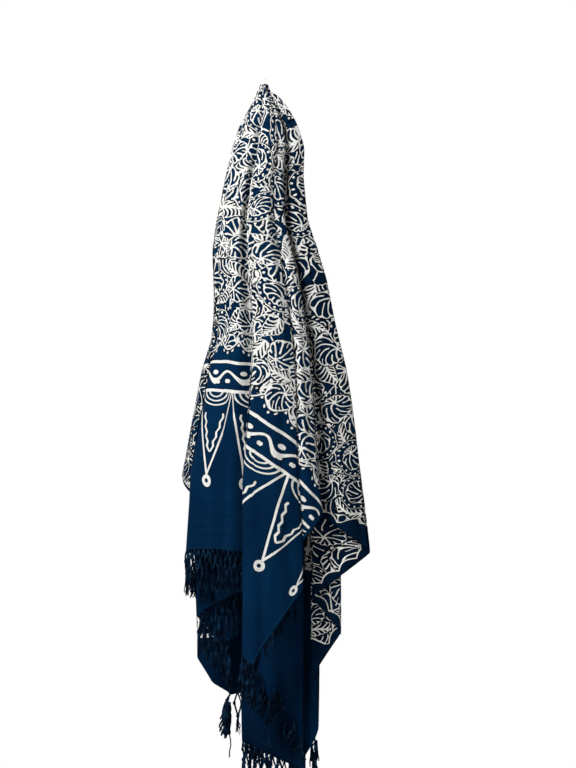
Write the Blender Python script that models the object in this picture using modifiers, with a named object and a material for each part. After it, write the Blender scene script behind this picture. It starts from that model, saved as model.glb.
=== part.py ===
"""Batik sarong with fringed ends, gathered at one point of its middle and hung on a plain wall hook.

The cloth is one rectangle. Every straight line drawn on it from the hung point falls straight down, so the
whole drape is worked out from a line's angle on the flat cloth, its length to the hem, and where the folds
put it in the hanging bundle. Metres, +Z up, the wall is the plane y = 0 and the front looks towards -Y.
"""

from math import acos, atan2, cos, degrees, hypot, pi, radians, sin, sqrt, tan

import bmesh
import bpy
import numpy as np

# flat cloth, and where the hung point lies on it
cloth_width = 1.15
cloth_length = 1.83
peak_to_first_end = 0.79
peak_to_second_end = cloth_length - peak_to_first_end
fringe_length = 0.075
cloth_wall = 0.001
fringe_wall = 0.0014
fringe_gap = 0.0009
piece_gap = 0.0003

# hook: one bent strip, its back on the wall, and the hung point over its tip
hook_width = 0.007
hook_strip = 0.0025
hook_reach = 0.034
hook_post_height = 0.024
hook_tip_bevel = 0.0012
peak_above_mount = 0.010
plate_above_peak = 0.015
tip_below_peak = 0.0065

# the gathered top is one piece down to this length of cloth
gather_reach = 0.080
gather_gap = 0.0009
gather_hollow = 0.007
gather_pleats = 13
gather_ruffle = 0.035
gather_fullness = 1.02
gather_sides = 48
gather_side_rings = 9
gather_under_rings = 2

# the bundle of folds
layer_count = 28
front_rounding = 0.40
back_rounding = 0.15
widest_bend = 0.016
level_depth = 0.450
low_depth = 0.800

peak = (0.0, -hook_reach, peak_above_mount)

# sections of the bundle, measured from the hung point
# depth below it, left edge, right edge, front, back
sections = (
    (0.000, -0.0020, 0.0020, -0.0020, 0.0020),
    (0.003, -0.0060, 0.0060, -0.0055, 0.0050),
    (0.006, -0.0090, 0.0080, -0.0085, 0.0070),
    (0.015, -0.0150, 0.0120, -0.0150, 0.0120),
    (0.032, -0.0230, 0.0260, -0.0240, 0.0170),
    (0.048, -0.0320, 0.0380, -0.0310, 0.0200),
    (0.074, -0.0470, 0.0550, -0.0400, 0.0250),
    (0.107, -0.0580, 0.0660, -0.0490, 0.0290),
    (0.157, -0.0690, 0.0640, -0.0600, 0.0320),
    (0.232, -0.0840, 0.0710, -0.0740, 0.0320),
    (0.282, -0.0920, 0.0880, -0.0810, 0.0320),
    (0.332, -0.0930, 0.1030, -0.0880, 0.0320),
    (0.432, -0.0960, 0.1240, -0.0980, 0.0320),
    (0.480, -0.1060, 0.1350, -0.1030, 0.0320),
    (0.533, -0.1120, 0.1430, -0.1070, 0.0320),
    (0.658, -0.1320, 0.1590, -0.1130, 0.0320),
    (0.700, -0.1320, 0.1640, -0.1140, 0.0320),
    (0.783, -0.1340, 0.1740, -0.1150, 0.0320),
    (1.300, -0.1240, 0.1720, -0.1150, 0.0320),
)

# passes of the cloth across the bundle, in order round the hung point
# sub-part, angle on the flat cloth where the pass ends, place of that fold from left (-1) to right (1)
# at the top and low down, layer from front (0) to back (28), swell in layers, number of strips
first_angle = -8.6
passes = (
    ("left_front_panel", 4.0, -0.24, -0.32, 4.8, -1.6, 5),
    ("left_front_panel", 11.5, 0.13, 0.02, 5.0, 0.0, 2),
    ("front_inner_pleats", 19.2, -0.24, -0.34, 4.0, 0.0, 2),
    ("front_inner_pleats", 26.9, 0.05, 0.03, 3.0, 0.0, 2),
    ("front_inner_pleats", 34.6, -0.22, -0.36, 2.0, 0.0, 2),
    ("centre_panel", 42.5, 0.27, 0.28, 0.7, -1.2, 6),
    ("centre_panel", 45.3, 0.11, 0.11, 1.7, 0.0, 2),
    ("right_front_fold", 52.0, 0.50, 0.53, 3.0, -0.7, 5),
    ("right_inner_pleats", 65.0, -0.30, -0.30, 6.0, 0.0, 2),
    ("right_inner_pleats", 77.0, 0.44, 0.45, 7.0, 0.0, 2),
    ("right_inner_pleats", 89.0, -0.28, -0.28, 8.0, 0.0, 2),
    ("right_inner_pleats", 101.0, 0.38, 0.38, 9.0, 0.0, 2),
    ("right_inner_pleats", 113.0, -0.26, -0.26, 10.0, 0.0, 2),
    ("right_side_panel", 128.8, 0.54, 0.54, 11.0, 0.0, 4),
    ("right_side_panel", 134.6, 1.00, 1.00, 10.0, -1.8, 5),
    ("right_under_fold", 138.5, 0.42, 0.38, 12.5, 0.0, 3),
    ("right_under_fold", 142.0, 0.72, 0.69, 13.5, 0.0, 1),
    ("right_under_fold", 145.0, 0.38, 0.38, 14.5, 0.0, 2),
    ("right_under_fold", 148.0, 0.45, 0.45, 15.5, 0.0, 1),
    ("right_lower_strip", 151.0, 0.12, 0.12, 20.0, 0.0, 2),
    ("right_lower_strip", 153.5, 0.29, 0.29, 19.0, 0.0, 1),
    ("lower_front_panel", 160.0, -0.40, -0.40, 16.5, 0.0, 4),
    ("lower_front_panel", 166.5, 0.24, 0.24, 17.4, 0.0, 1),
    ("lower_inner_pleats", 178.0, -0.38, -0.38, 18.3, 0.0, 1),
    ("lower_inner_pleats", 187.0, 0.28, 0.28, 21.0, 0.0, 1),
    ("lower_inner_pleats", 195.0, -0.36, -0.36, 22.0, 0.0, 1),
    ("lower_inner_pleats", 203.5, 0.30, 0.30, 23.0, 0.0, 1),
    ("back_left_panel", 212.0, -0.90, -0.90, 24.0, 0.0, 4),
    ("back_inner_pleats", 232.0, 0.62, 0.62, 25.0, 0.0, 4),
    ("back_inner_pleats", 252.0, -0.72, -0.72, 26.0, 0.0, 4),
    ("back_inner_pleats", 276.0, 0.66, 0.66, 27.0, 0.0, 4),
    ("back_outer_panel", 302.0, -0.96, -1.08, 28.0, 0.0, 4),
    ("left_side_strip", 315.0, 0.10, 0.10, 15.0, 0.0, 3),
    ("left_inner_pleats", 328.0, -0.85, -0.85, 14.0, 0.0, 2),
    ("left_inner_pleats", 340.0, 0.22, 0.20, 13.0, 0.0, 2),
    ("left_inner_pleats", 351.4, -0.84, -0.98, 12.0, 0.0, 2),
)

# creases draw parts of the hem up: angle on the flat cloth, share of its length that falls
drawn_up = (
    (11.5, 1.000),
    (19.2, 0.965),
    (26.9, 0.965),
    (34.6, 1.000),
    (196.0, 1.000),
    (204.0, 0.885),
    (209.0, 0.873),
    (213.0, 0.885),
    (228.0, 1.000),
    (316.0, 1.000),
    (324.0, 0.965),
    (332.0, 0.965),
    (342.0, 1.000),
)

# fringe between two angles on the flat cloth
first_corner = degrees(atan2(cloth_width / 2, peak_to_first_end))
second_corner = degrees(atan2(cloth_width / 2, -peak_to_second_end))
fringes = (
    ("left_front_fringe", first_angle, 11.5),
    ("front_inner_fringe", 11.5, 34.6),
    ("centre_fringe", 34.6, first_corner),
    ("right_lower_fringe", second_corner, 153.5),
    ("lower_front_fringe", 153.5, 166.5),
    ("lower_inner_fringe", 166.5, 203.5),
    ("back_left_fringe", 203.5, 360.0 - second_corner),
    ("left_inner_fringe", 360.0 - first_corner, 351.4),
)

# base colour, roughness, metallic
finishes = {
    "batik cotton": ((0.012, 0.045, 0.105), 0.85, 0.0),
    "navy fringe": ((0.006, 0.020, 0.050), 0.90, 0.0),
    "painted steel": ((0.800, 0.790, 0.760), 0.40, 0.0),
}

# rows of points down a stretch of cloth, as shares of its length below the gathered top
row_shares = (0.0, 0.06, 0.15, 0.28, 0.45, 0.64, 0.82, 1.0)


def clear_scene():
    for old in list(bpy.data.objects):
        bpy.data.objects.remove(old)


def make_collection(name):
    collection = bpy.data.collections.new(name)
    bpy.context.scene.collection.children.link(collection)
    return collection


def make_material(name, finish):
    colour, roughness, metallic = finishes[finish]
    material = bpy.data.materials.new(f"{finish} of {name}")
    material.use_nodes = True
    shader = material.node_tree.nodes["Principled BSDF"]
    shader.inputs["Base Color"].default_value = (*colour, 1.0)
    shader.inputs["Roughness"].default_value = roughness
    shader.inputs["Metallic"].default_value = metallic
    return material


def add_object(name, mesh, collection, finish=None):
    piece = bpy.data.objects.new(name, mesh)
    collection.objects.link(piece)
    if finish is not None:
        mesh.materials.append(make_material(name, finish))
    return piece


def section_at(depth):
    """Middle and half of the bundle's width and depth, at a depth below the hung point."""
    rows = np.array(sections)
    left, right, front, back = (np.interp(depth, rows[:, 0], rows[:, side]) for side in (1, 2, 3, 4))
    return (left + right) / 2, (right - left) / 2, (front + back) / 2, (back - front) / 2


def layer_step(depth):
    return 2 * section_at(depth)[3] / layer_count


def spot(depth, place, layer):
    """Across and fore-and-aft position of a place and a layer in the bundle's section."""
    mid_x, half_x, mid_y, half_y = section_at(depth)
    level = 2 * layer / layer_count - 1
    rounding = front_rounding if level < 0 else back_rounding
    return mid_x + half_x * place, mid_y + half_y * level * (1 - rounding * min(1.0, place * place))


def hang(reach, place_and_layer):
    """Point of the cloth at a distance along it from the hung point: it falls as far as that lets it."""
    depth = reach
    for _ in range(3):
        x, y = spot(depth, *place_and_layer(depth))
        depth = sqrt(max(reach * reach - x * x - y * y, 0.0))
    return np.array((peak[0] + x, peak[1] + y, peak[2] - depth))


def hem_reach(angle):
    """Distance from the hung point to the edge of the flat rectangle, at an angle on it."""
    across = abs(sin(radians(angle)))
    along = cos(radians(angle))
    end = peak_to_first_end if along > 0 else peak_to_second_end
    return min(cloth_width / 2 / max(across, 1e-6), end / max(abs(along), 1e-6))


def bend(gap, depth):
    """Half width of a rounded fold that joins two passes, as a share of the bundle's half width."""
    return min(abs(gap) * layer_step(depth) / 2, widest_bend) / section_at(depth)[1]


def line(places, layer, before=(0.0, 0.0), after=(0.0, 0.0)):
    """A line of the cloth: its place moves by a share of the rounded folds before and after it."""
    top, low = places

    def at(depth):
        place = top + (low - top) * min(depth / low_depth, 1.2)
        moved = place + before[0] * bend(before[1], depth) + after[0] * bend(after[1], depth)
        return moved, layer

    return at


def mix(first, second, share):
    def at(depth):
        return tuple(a + (b - a) * share for a, b in zip(first(depth), second(depth)))

    return at


def fold_corner(gap):
    """Angle from the nose of a fold to its first line; wide folds take more lines."""
    return pi / 8 if abs(gap) < 3 else pi / 16


def fold_start(gap):
    """Share of a fold's bend that is behind where its pass runs flat."""
    return 1 - tan(fold_corner(gap))


def half_fold(places, layer, gap, direction):
    """Lines round half of a fold, from its nose to the flat of its pass, its nose standing square."""
    corner = fold_corner(gap)
    yield line(places, layer - gap / 2)
    for step in range(round(pi / 4 / corner) - 1):
        turn = corner * (2 * step + 1)
        lead = direction * (1 - cos(turn) / cos(corner))
        yield line(places, layer - gap / 2 * (1 - sin(turn) / cos(corner)), (lead, gap))


def folds_at(index):
    """True where the cloth turns back between a pass and the one before it; otherwise it runs on."""
    start = passes[index - 1][2]
    return (start - passes[index - 2][2]) * (passes[index][2] - start) < 0


def pass_lines(index):
    """Lines of one pass, from fold to fold, with those of its own half of each fold."""
    *_, layer, swell, strips = passes[index]
    start = passes[index - 1][2:4]
    end = passes[index][2:4]
    direction = 1 if end[0] > start[0] else -1
    folds_before = folds_at(index)
    folds_after = folds_at((index + 1) % len(passes))
    gap_before = layer - passes[index - 1][4]
    gap_after = layer - passes[(index + 1) % len(passes)][4]
    lines = []
    if folds_before:
        lines += half_fold(start, layer, gap_before, direction)
    for strip in range(strips + 1):
        share = strip / strips
        own_layer = layer + swell * sin(pi * share)
        lead = trail = (0.0, 0.0)
        if folds_before:
            lead = (direction * (1 - share) * fold_start(gap_before), gap_before)
        else:
            own_layer -= gap_before / 2 * (1 - share) ** 8
        if folds_after:
            trail = (-direction * share * fold_start(gap_after), gap_after)
        else:
            own_layer -= gap_after / 2 * share**8
        places = tuple(a + (b - a) * share for a, b in zip(start, end))
        lines.append(line(places, own_layer, lead, trail))
    if folds_after:
        lines += list(half_fold(end, layer, gap_after, -direction))[::-1]
    return lines


def with_angles(lines, start_angle, end_angle):
    """Shares a pass's angle on the flat cloth among its lines, by the width between them."""
    spots = [spot(level_depth, *at(level_depth)) for at in lines]
    run = [0.0]
    for (x0, y0), (x1, y1) in zip(spots, spots[1:]):
        run.append(run[-1] + hypot(x1 - x0, y1 - y0))
    turn = (end_angle - start_angle) / run[-1]
    return [(start_angle + turn * length, at) for length, at in zip(run, lines)]


def with_corner(lines, corner):
    """Adds the line that ends at a corner of the cloth."""
    for index, ((angle0, at0), (angle1, at1)) in enumerate(zip(lines, lines[1:])):
        if angle0 + 0.1 < corner < angle1 - 0.1:
            cut = mix(at0, at1, (corner - angle0) / (angle1 - angle0))
            return lines[: index + 1] + [(corner, cut)] + lines[index + 1 :]
    return lines


def cloth_lines():
    """Each sub-part's lines in order round the hung point, each as (angle on the flat cloth, line)."""
    stretches = {}
    start_angle = first_angle
    for index, (name, end_angle, *_) in enumerate(passes):
        lines = with_angles(pass_lines(index), start_angle, end_angle)
        for corner in (first_corner, second_corner, 360 - second_corner, 360 - first_corner):
            lines = with_corner(lines, corner)
        own = stretches.setdefault(name, [])
        if own and folds_at(index):
            own.pop()
        own += lines[1:] if own else lines
        start_angle = end_angle
    return stretches


def make_sheet(name, lines, rows, wall, collection, finish):
    """A sheet through the given lines, with a row of points at each (reach from, reach to, share)."""
    grid = []
    for angle, at in lines:
        grid.append([hang(start + (stop - start) * share, at) for start, stop, share in rows(angle)])
    for edge, inner in ((0, 1), (-1, -2)):
        for row, point in enumerate(grid[edge]):
            inward = grid[inner][row] - point
            grid[edge][row] = point + inward / np.linalg.norm(inward) * piece_gap / 2
    columns = len(grid)
    count = len(grid[0])
    shape = bmesh.new()
    bmesh.ops.create_grid(shape, x_segments=columns - 1, y_segments=count - 1, size=1)
    for vertex in shape.verts:
        column = round((vertex.co.x + 1) / 2 * (columns - 1))
        row = round((vertex.co.y + 1) / 2 * (count - 1))
        vertex.co = grid[column][row]
    mesh = bpy.data.meshes.new(name)
    shape.to_mesh(mesh)
    shape.free()
    piece = add_object(name, mesh, collection, finish)
    solidify = piece.modifiers.new("cloth thickness", "SOLIDIFY")
    solidify.thickness = wall
    solidify.offset = 0
    return piece


def hem_fall(angle):
    """Length from the hung point to the hem as it hangs, shorter where creases draw the cloth up."""
    angles, shares = zip(*drawn_up)
    return hem_reach(angle) * float(np.interp(angle, angles, shares))


def cloth_rows(angle):
    hem = hem_fall(angle)
    return [(gather_reach + gather_gap, hem, share) for share in row_shares]


def fringe_rows(angle):
    hem = hem_fall(angle)
    return [(hem + fringe_gap, hem + fringe_length, share) for share in (0.0, 1.0)]


def make_cloth(collection):
    stretches = cloth_lines()
    for name, lines in stretches.items():
        make_sheet(name, lines, cloth_rows, cloth_wall, collection, "batik cotton")
    whole = []
    for lines in stretches.values():
        whole += lines[1:] if whole else lines
    for name, start, stop in fringes:
        own = [(angle, at) for angle, at in whole if start - 0.01 <= angle <= stop + 0.01]
        make_sheet(name, own, fringe_rows, fringe_wall, collection, "navy fringe")


def gather_spot(around, rings_down):
    """Point of the gathered top: rings of its side fall to its reach, and rings below close it."""
    share_down = min(1.0, rings_down / gather_side_rings)
    under = max(0.0, rings_down - gather_side_rings) / gather_under_rings
    ruffle = 1 + gather_ruffle * share_down * cos(gather_pleats * around + 2 * sin(around))
    spread = gather_fullness * ruffle * (1 - under)
    spread_x = spread * cos(around)
    layer = layer_count / 2 * (1 + spread * sin(around))
    point = hang(gather_reach - gather_hollow * under, lambda depth: (spread_x, layer))
    if share_down < 1:
        depth = (peak[2] - point[2]) * share_down**1.3
        x, y = spot(depth, spread_x, layer)
        point = (peak[0] + x, peak[1] + y, peak[2] - depth)
    return point


def make_gather(collection, cutters):
    """The gathered top: a ruffled solid of its many layers, with a slit behind for the hook."""
    rings = gather_side_rings + gather_under_rings
    shape = bmesh.new()
    bmesh.ops.create_uvsphere(shape, u_segments=gather_sides, v_segments=rings, radius=1)
    for vertex in shape.verts:
        rings_down = rings * acos(max(-1.0, min(1.0, vertex.co.z))) / pi
        vertex.co = gather_spot(atan2(vertex.co.y, vertex.co.x), rings_down)
    mesh = bpy.data.meshes.new("gathered_top")
    shape.to_mesh(mesh)
    shape.free()
    gather = add_object("gathered_top", mesh, collection, "batik cotton")
    slit = bpy.data.meshes.new("hook_slit")
    shape = bmesh.new()
    bmesh.ops.create_cube(shape, size=1)
    low = (-hook_width / 2 - piece_gap, peak[1] - hook_strip / 2 - piece_gap, hook_bottom() - piece_gap)
    high = (hook_width / 2 + piece_gap, 0.05, peak[2] - tip_below_peak + piece_gap)
    for vertex in shape.verts:
        vertex.co = [b if axis > 0 else a for axis, a, b in zip(vertex.co, low, high)]
    shape.to_mesh(slit)
    shape.free()
    cutter = add_object("hook_slit", slit, cutters)
    cutter.hide_render = True
    cutter.display_type = "WIRE"
    cut = gather.modifiers.new("hook slit", "BOOLEAN")
    cut.operation = "DIFFERENCE"
    cut.object = cutter


def hook_bottom():
    return peak[2] - tip_below_peak - hook_post_height - hook_strip


def make_hook(collection):
    """Side outline of the bent strip, extruded to its width."""
    outline = bpy.data.curves.new("wall_hook", "CURVE")
    outline.dimensions = "2D"
    outline.fill_mode = "BOTH"
    outline.extrude = hook_width / 2
    top = peak[2] + plate_above_peak
    bottom = hook_bottom()
    tip = peak[2] - tip_below_peak
    front = peak[1] - hook_strip / 2
    inner = front + hook_strip
    points = (
        (0.0, top),
        (-hook_strip, top),
        (-hook_strip, bottom + hook_strip),
        (inner, bottom + hook_strip),
        (inner, tip - hook_tip_bevel),
        (inner - hook_tip_bevel / 2, tip),
        (front + hook_tip_bevel / 2, tip),
        (front, tip - hook_tip_bevel),
        (front, bottom + hook_strip),
        (front + hook_strip, bottom),
        (0.0, bottom),
    )
    spline = outline.splines.new("POLY")
    spline.points.add(len(points) - 1)
    for point, (y, z) in zip(spline.points, points):
        point.co = (y, z, 0.0, 1.0)
    spline.use_cyclic_u = True
    hook = add_object("wall_hook", outline, collection, "painted steel")
    hook.rotation_euler = (pi / 2, 0.0, pi / 2)


clear_scene()
sarong = make_collection("batik sarong")
cutting = make_collection("cutters")
make_hook(sarong)
make_gather(sarong, cutting)
make_cloth(sarong)
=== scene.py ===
import math
import random

import bmesh
import bpy
import numpy as np
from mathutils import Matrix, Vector


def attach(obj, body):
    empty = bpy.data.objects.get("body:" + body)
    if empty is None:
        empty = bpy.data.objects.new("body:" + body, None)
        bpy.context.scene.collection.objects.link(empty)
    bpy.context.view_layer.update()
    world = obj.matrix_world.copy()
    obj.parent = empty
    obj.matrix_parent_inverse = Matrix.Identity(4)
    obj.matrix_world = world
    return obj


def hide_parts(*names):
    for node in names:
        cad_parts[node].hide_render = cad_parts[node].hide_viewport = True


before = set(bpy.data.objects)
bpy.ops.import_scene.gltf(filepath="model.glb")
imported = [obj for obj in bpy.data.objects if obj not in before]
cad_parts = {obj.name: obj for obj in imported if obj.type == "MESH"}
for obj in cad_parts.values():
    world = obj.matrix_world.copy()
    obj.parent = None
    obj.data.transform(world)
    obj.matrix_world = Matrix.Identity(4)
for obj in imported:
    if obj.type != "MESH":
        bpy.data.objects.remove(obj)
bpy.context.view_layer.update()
scene = bpy.context.scene
chance = random.Random(7)


# camera straight at the front, level, far enough back for the flat look of a long lens
view = {
    "pixel": 0.00167,  # metres a pixel of the frame at the front of the cloth
    "distance": 4.0,
    "frameHeight": 768,
    "middleX": 0.03841,
    "middleZ": -0.49601,
    "frontY": -0.084,
    "sensor": 36.0,
}


def addObject(name, data):
    thing = bpy.data.objects.new(name, data)
    scene.collection.objects.link(thing)
    return thing


def makeCamera():
    lens = bpy.data.cameras.new("camera")
    lens.sensor_fit = "VERTICAL"
    lens.sensor_height = view["sensor"]
    lens.sensor_width = view["sensor"]
    lens.lens = view["sensor"] * view["distance"] / (view["frameHeight"] * view["pixel"])
    camera = addObject("camera", lens)
    camera.location = (view["middleX"], view["frontY"] - view["distance"], view["middleZ"])
    camera.rotation_euler = (math.pi / 2, 0.0, 0.0)
    scene.camera = camera


makeCamera()
print("stage: camera")


# the flat cloth and the bundle it hangs in, the same sizes as the solids
cloth = {
    "width": 1.15,
    "nearEnd": 0.79,  # from the hung point to the end that hangs in front
    "farEnd": 1.04,
    "peak": (0.0, -0.034, 0.010),
    "layers": 28,
    "frontRounding": 0.40,
    "backRounding": 0.15,
    "widestBend": 0.016,
    "level": 0.450,  # depth where a pass's angle is shared out by width
    "low": 0.800,  # depth of the low places, and for what share of it a pass goes on leaning to them
    "leanEnd": 1.2,
    "gatherReach": 0.080,
    "wall": 0.0007,
    "wallFace": -0.0008,  # the cloth's back lies flat where it meets the wall behind
    # how far the left edge is drawn in, at what depth and over what half height, and at which places
    "waist": 0.010,
    "waistAt": 0.390,
    "waistHalf": 0.110,
    "waistPlaces": (0.55, 0.95),
    "settles": 3,  # how often a point's depth is worked out again from its place
    "sharp": 70,  # degrees between faces from which an edge looks sharp
    "crowded": (0.10, 0.36),  # reach from where folds crowd to where the cloth hangs flat
    "placeWidth": 0.14,  # about how wide the bundle is for a place of 1
    "joinPower": 8,  # how sharply two passes that don't fold meet
    "arcSteps": 5,
    "column": 0.0042,
    "row": 0.0075,
    # the table of sections is read at steps down to the lowest hem, and its corners are rounded over a
    # number of steps, from the first of two depths and wholly from the second
    "tableStep": 0.001,
    "tableEnd": 1.4,
    "roundedOver": 31,
    "roundedFrom": (0.015, 0.060),
}
peak = np.array(cloth["peak"])

# millimetres: depth below the hung point, left edge, right edge, front, back
sections = np.array([
    (0, -2, 2, -2, 2), (3, -6, 6, -5.5, 5), (6, -9, 8, -8.5, 7),
    (15, -15, 12, -15, 12), (32, -23, 26, -24, 17), (48, -32, 38, -31, 20),
    (74, -47, 55, -40, 25), (107, -58, 66, -49, 29), (157, -69, 64, -60, 32),
    (232, -84, 71, -74, 32), (282, -92, 88, -81, 32), (332, -93, 103, -88, 32),
    (432, -96, 124, -98, 32), (480, -106, 135, -103, 32), (533, -112, 143, -107, 32),
    (658, -132, 159, -113, 32), (700, -132, 164, -114, 32), (783, -134, 174, -115, 32),
    (1300, -124, 172, -115, 32),
]) / 1000

# passes of the cloth across the bundle, by stretch and in order round the hung point: angle where the pass
# ends, layer from the front, place of that fold at the top, its place low down where that is another one,
# and the pass's swell in layers
firstAngle = -8.6
passTable = {
    "left_front_panel": [(4, 4.8, -0.24, -0.32, -1.6), (11.5, 5, 0.13, 0.02)],
    "front_inner_pleats": [(19.2, 4, -0.24, -0.34), (26.9, 3, 0.05, 0.03), (34.6, 2, -0.22, -0.36)],
    "centre_panel": [(42.5, 0.7, 0.27, 0.28, -1.2), (45.3, 1.7, 0.11)],
    "right_front_fold": [(52, 3, 0.50, 0.53, -0.7)],
    "right_inner_pleats": [
        (65, 6, -0.30), (77, 7, 0.44, 0.45), (89, 8, -0.28), (101, 9, 0.38), (113, 10, -0.26),
    ],
    "right_side_panel": [(128.8, 11, 0.54), (134.6, 10, 1.00, 1.00, -1.8)],
    "right_under_fold": [
        (138.5, 12.5, 0.42, 0.38), (142, 13.5, 0.72, 0.69), (145, 14.5, 0.38), (148, 15.5, 0.45),
    ],
    "right_lower_strip": [(151, 20, 0.12), (153.5, 19, 0.29)],
    "lower_front_panel": [(160, 16.5, -0.40), (166.5, 17.4, 0.24)],
    "lower_inner_pleats": [(178, 18.3, -0.38), (187, 21, 0.28), (195, 22, -0.36), (203.5, 23, 0.30)],
    "back_left_panel": [(211.5, 24, -0.90)],
    "back_inner_pleats": [(232, 25, 0.62), (252, 26, -0.72), (276, 27, 0.66)],
    "back_outer_panel": [(302, 28, -0.96, -1.08)],
    "left_side_strip": [(315, 15, 0.10)],
    "left_inner_pleats": [(328, 14, -0.85), (340, 13, 0.22, 0.20), (351.4, 12, -0.84, -0.98)],
}


def passRow(name, angle, layer, top, low=None, swell=0.0):
    return name, angle, top, top if low is None else low, layer, swell


passes = [passRow(name, *row) for name, rows in passTable.items() for row in rows]

# creases draw parts of the hem up: angle on the flat cloth, share of its length that falls
drawnUp = np.array([
    (11.5, 1.000), (19.2, 0.965), (26.9, 0.965), (34.6, 1.000),
    (196.0, 1.000), (204.0, 0.885), (209.0, 0.870), (210.3, 0.891), (211.5, 0.885), (228.0, 1.000),
    (316.0, 1.000), (324.0, 0.965), (332.0, 0.965), (342.0, 1.000),
])
nearCorner = math.degrees(math.atan2(cloth["width"] / 2, cloth["nearEnd"]))
farCorner = math.degrees(math.atan2(cloth["width"] / 2, -cloth["farEnd"]))
corners = (nearCorner, farCorner, 360 - farCorner, 360 - nearCorner)


def smoothStep(value, start, stop):
    share = np.clip((value - start) / (stop - start), 0.0, 1.0)
    return share * share * (3 - 2 * share)


def smoothSections():
    depth = np.arange(0.0, cloth["tableEnd"], cloth["tableStep"])
    rows = np.stack([np.interp(depth, sections[:, 0], sections[:, side]) for side in (1, 2, 3, 4)])
    wide = cloth["roundedOver"]
    padded = np.pad(rows, ((0, 0), (wide, wide)), mode="edge")
    kernel = np.hanning(wide)
    kernel /= kernel.sum()
    rounded = np.stack([np.convolve(row, kernel, mode="same")[wide:-wide] for row in padded])
    blend = smoothStep(depth, *cloth["roundedFrom"])
    return depth, rows * (1 - blend) + rounded * blend


sectionDepths, sectionRows = smoothSections()


def sectionAt(depth):
    left, right, front, back = (np.interp(depth, sectionDepths, row) for row in sectionRows)
    return (left + right) / 2, (right - left) / 2, (front + back) / 2, (back - front) / 2


def spotIn(depth, place, layer):
    midX, halfX, midY, halfY = sectionAt(depth)
    level = 2 * layer / cloth["layers"] - 1
    rounding = np.where(level < 0, cloth["frontRounding"], cloth["backRounding"])
    x = midX + halfX * place
    y = midY + halfY * level * (1 - rounding * np.minimum(1.0, place * place))
    return x, y


def hemReach(angle):
    across = np.abs(np.sin(np.radians(angle)))
    along = np.cos(np.radians(angle))
    end = np.where(along > 0, cloth["nearEnd"], cloth["farEnd"])
    return np.minimum(
        cloth["width"] / 2 / np.maximum(across, 1e-6), end / np.maximum(np.abs(along), 1e-6)
    )


def hemFall(angle):
    return hemReach(angle) * np.interp(angle, drawnUp[:, 0], drawnUp[:, 1])


def bend(gap, depth):
    # half width of a rounded fold between two passes, as a share of the bundle's half width
    _, halfX, _, halfY = sectionAt(depth)
    return np.minimum(np.abs(gap) * halfY / cloth["layers"], cloth["widestBend"]) / halfX


def foldsAt(index):
    # whether the cloth turns back where this pass starts
    start = passes[index - 1][2]
    return (start - passes[index - 2][2]) * (passes[index][2] - start) < 0


# a line of the cloth falls straight down and is one row: its top place, low place and layer, the share and
# gap of the fold before it and of the fold after it, and how far across its pass it is
def arcLines(places, layer, gap, direction, within):
    # half of a rounded fold, from its nose to the flat of its pass
    rows = []
    for step in range(cloth["arcSteps"]):
        turn = math.pi / 2 * step / cloth["arcSteps"]
        lead = direction * (1 - math.cos(turn))
        rows.append((*places, layer - gap / 2 * (1 - math.sin(turn)), lead, gap, 0.0, 0.0, within))
    return rows


def passLines(index, flatWidth):
    _, _, *end, layer, swell = passes[index]
    start = passes[index - 1][2:4]
    after = passes[(index + 1) % len(passes)]
    direction = 1 if end[0] > start[0] else -1
    before = foldsAt(index)
    behind = foldsAt((index + 1) % len(passes))
    gapBefore = layer - passes[index - 1][4]
    gapAfter = layer - after[4]
    strips = max(3, round(flatWidth / cloth["column"]))
    lines = arcLines(start, layer, gapBefore, direction, 0.0) if before else []
    for strip in range(strips + 1):
        share = strip / strips
        ownLayer = layer + swell * math.sin(math.pi * share)
        lead = direction * (1 - share) if before else 0.0
        trail = -direction * share if behind else 0.0
        ownLayer -= 0.0 if before else gapBefore / 2 * (1 - share) ** cloth["joinPower"]
        ownLayer -= 0.0 if behind else gapAfter / 2 * share ** cloth["joinPower"]
        places = [a + (b - a) * share for a, b in zip(start, end)]
        lines.append((*places, ownLayer, lead, gapBefore, trail, gapAfter, share))
    if behind:
        lines += arcLines(end, layer, gapAfter, -direction, 1.0)[::-1]
    return lines


def placeAt(lines, depth):
    # place and layer of every line (columns) at every depth (rows)
    top, low, layer, lead, leadGap, trail, trailGap = (lines[:, key] for key in range(7))
    place = top + (low - top) * np.minimum(depth / cloth["low"], cloth["leanEnd"])
    place = place + lead * bend(leadGap, depth) + trail * bend(trailGap, depth)
    return place, layer + depth * 0


def makeStretches():
    # every stretch's lines and their angles on the flat cloth
    found = {}
    startAngle = firstAngle
    for index, (name, endAngle, *_) in enumerate(passes):
        width = abs(passes[index][3] - passes[index - 1][3]) * cloth["placeWidth"]
        lines = np.array(passLines(index, width))
        x, y = spotIn(cloth["level"], *placeAt(lines, np.array(cloth["level"])))
        run = np.concatenate([[0.0], np.cumsum(np.hypot(np.diff(x), np.diff(y)))])
        angles = startAngle + (endAngle - startAngle) * run / run[-1]
        for corner in corners:
            if startAngle < corner < endAngle:
                angles[np.argmin(np.abs(angles - corner))] = corner
        passOf = np.full(len(lines), index)
        if name in found:
            old = found[name]
            lines = np.concatenate([old["lines"], lines[1:]])
            angles = np.concatenate([old["angles"], angles[1:]])
            passOf = np.concatenate([old["passOf"], passOf[1:]])
        found[name] = {"lines": lines, "angles": angles, "passOf": passOf}
        startAngle = endAngle
    return found


stretches = makeStretches()
print("stage: folds worked out,", sum(len(s["angles"]) for s in stretches.values()), "lines")


# soft folds within a pass: how many to a radian of the flat cloth, depth in metres, how much they wander
softFolds = [
    (46.0, 0.0050, 0.9),
    (97.0, 0.0026, 1.5),
    (205.0, 0.0009, 2.3),
]

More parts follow.
